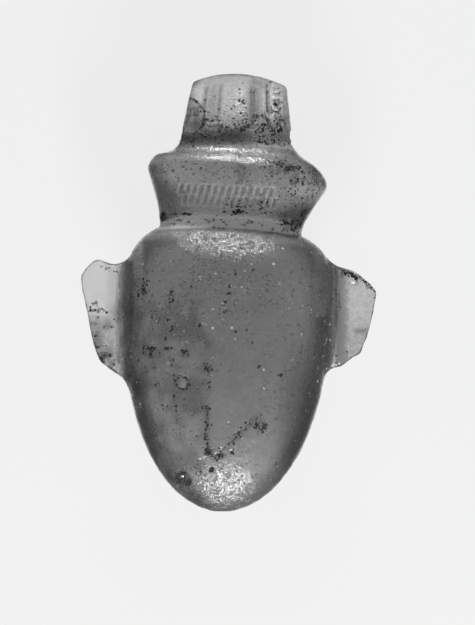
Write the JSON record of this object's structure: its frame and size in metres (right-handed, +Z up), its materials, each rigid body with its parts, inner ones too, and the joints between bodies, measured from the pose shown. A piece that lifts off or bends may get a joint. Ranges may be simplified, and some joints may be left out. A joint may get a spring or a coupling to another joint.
{
  "type": "heart amulet",
  "caption": "Heart-shaped vase amulet of cast cloudy glass, with side lugs, a flared collar and a ribbed loop bored for a cord. It lies on its back.",
  "frame": {"origin": "on the plane that the amulet lies on, under the middle of its outline", "axes": "+Z points up out of the face, +Y runs along the amulet from the heart's tip to the suspension loop, and +X is to the right as its face is looked at"},
  "size_m": [0.0188, 0.028, 0.009],
  "materials": {
    "cast_glass": "cloudy translucent glass, glossy but finely pitted, with stained lug edges"
  },
  "bodies": {
    "root": {"heart_amulet": "cast_glass"}
  },
  "joints": []
}
